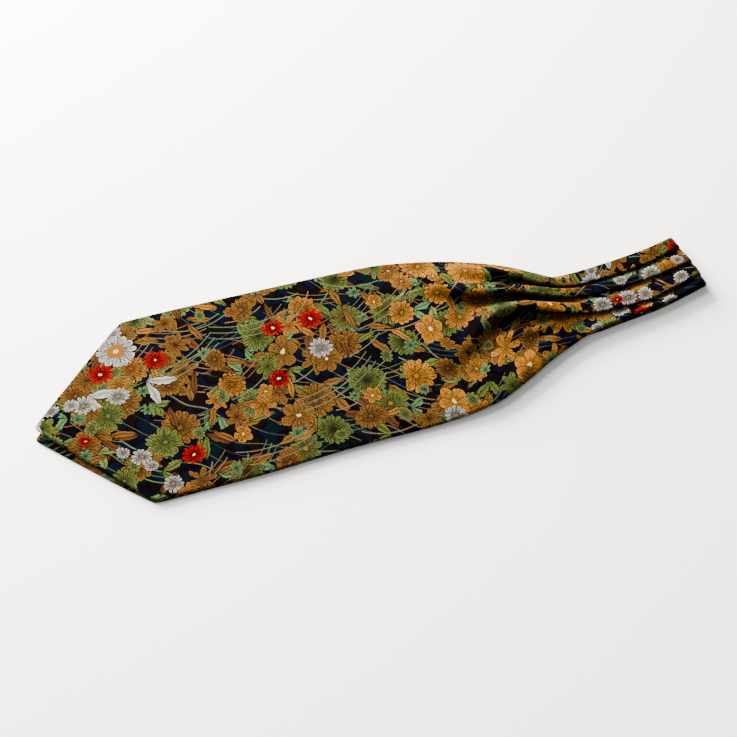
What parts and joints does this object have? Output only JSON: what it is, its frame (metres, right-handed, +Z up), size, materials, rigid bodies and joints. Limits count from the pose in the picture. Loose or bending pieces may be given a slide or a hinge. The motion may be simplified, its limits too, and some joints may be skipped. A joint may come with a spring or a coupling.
{
  "type": "silk cravat",
  "caption": "Printed silk day cravat folded in half and laid flat: two pointed blades, one on the other, gathered by knife pleats into a narrow pleated neckband.",
  "frame": {"origin": "centre of the underside, on the surface that the cravat lies on", "axes": "+X from the point of the blades to the fold of the neckband, +Y towards the edge that is farther from the viewer, +Z up"},
  "size_m": [0.577, 0.1714, 0.0179],
  "materials": {
    "blade_silk": "printed silk twill with a soft sheen, ochre and green flowers on near-black navy",
    "neckband_silk": "the same printed silk twill, pleated and pressed",
    "under_blade_silk": "the same printed silk twill on the under blade"
  },
  "bodies": {
    "root": {"upper_blade": "blade_silk", "neckband": "neckband_silk", "under_blade": "under_blade_silk"}
  },
  "joints": []
}
